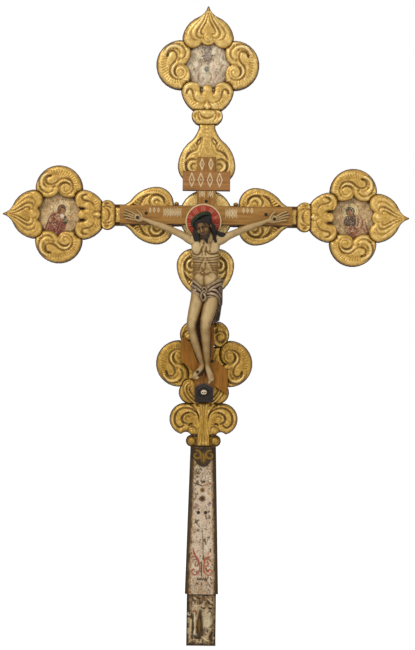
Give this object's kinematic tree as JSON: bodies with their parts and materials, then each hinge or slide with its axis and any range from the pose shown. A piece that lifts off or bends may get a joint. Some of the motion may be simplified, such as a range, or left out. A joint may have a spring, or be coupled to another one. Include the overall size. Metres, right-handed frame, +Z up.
{
  "type": "processional cross",
  "caption": "Carved and gilded wooden processional cross with lobed painted terminals, an applied carved figure and a tapered handle that ends in a tang.",
  "frame": {"origin": "centre of the tang's square end face, where the cross meets the bottom of its pole socket", "axes": "+Z up the shaft to the tip, +X to the right of somebody who faces the carved side, carved front towards -Y"},
  "size_m": [0.763, 0.0857, 1.1999],
  "materials": {
    "board_paint": "dark brown size and varnish over seasoned lime board",
    "gesso": "worn off-white gesso over pine",
    "panel_paint": "egg-tempera paint on gesso, worn",
    "bar_paint": "warm brown paint, satin",
    "cave_paint": "near-black brown paint",
    "bone_paint": "ivory-coloured paint",
    "halo_paint": "red paint with cream lines",
    "thorn_paint": "dark green-black paint",
    "cloth_paint": "rose-grey paint over gessoed linen and wood",
    "flesh_paint": "ochre flesh paint, satin, lightly crazed",
    "forged_iron": "hand-forged, dark and lightly rusted",
    "gilding": "water gilding on red bole and gesso, burnished and worn"
  },
  "bodies": {
    "root": {"arm_beads": "gilding", "arm_board": "board_paint", "centre_boss": "gilding", "corpus_head": "flesh_paint", "corpus_left_arm": "flesh_paint", "corpus_left_leg": "flesh_paint", "corpus_right_arm": "flesh_paint", "corpus_right_leg": "flesh_paint", "corpus_torso": "flesh_paint", "cross_nails": "forged_iron", "crown_of_thorns": "thorn_paint", "fluted_stem": "gilding", "foot_balls": "gilding", "foot_nail": "forged_iron", "footboard": "bar_paint", "golgotha_block": "cave_paint", "halo": "halo_paint", "hand_nails": "forged_iron", "handle_pins": "forged_iron", "handle_shaft": "gesso", "left_big_scroll": "gilding", "left_curl_pair": "gilding", "left_drop_leaf": "gilding", "left_foot_scroll": "gilding", "left_icon_panel": "panel_paint", "left_knot": "gilding", "left_long_leaf": "gilding", "left_onion_leaf": "gilding", "left_scroll_high": "gilding", "left_scroll_low": "gilding", "left_small_scroll": "gilding", "loincloth": "cloth_paint", "lower_drop_leaf": "gilding", "right_big_scroll": "gilding", "right_curl_pair": "gilding", "right_drop_leaf": "gilding", "right_foot_scroll": "gilding", "right_icon_panel": "panel_paint", "right_knot": "gilding", "right_long_leaf": "gilding", "right_onion_leaf": "gilding", "right_scroll_high": "gilding", "right_scroll_low": "gilding", "right_small_scroll": "gilding", "shaft_leaf": "gilding", "skull": "bone_paint", "thin_crossbar": "bar_paint", "thin_upright": "bar_paint", "titulus_bar": "bar_paint", "top_curl_pair": "gilding", "top_drop_leaf": "gilding", "top_icon_panel": "panel_paint", "top_knot": "gilding", "top_onion_leaf": "gilding", "top_scroll_high": "gilding", "top_scroll_low": "gilding", "upright_board": "board_paint"}
  },
  "joints": []
}
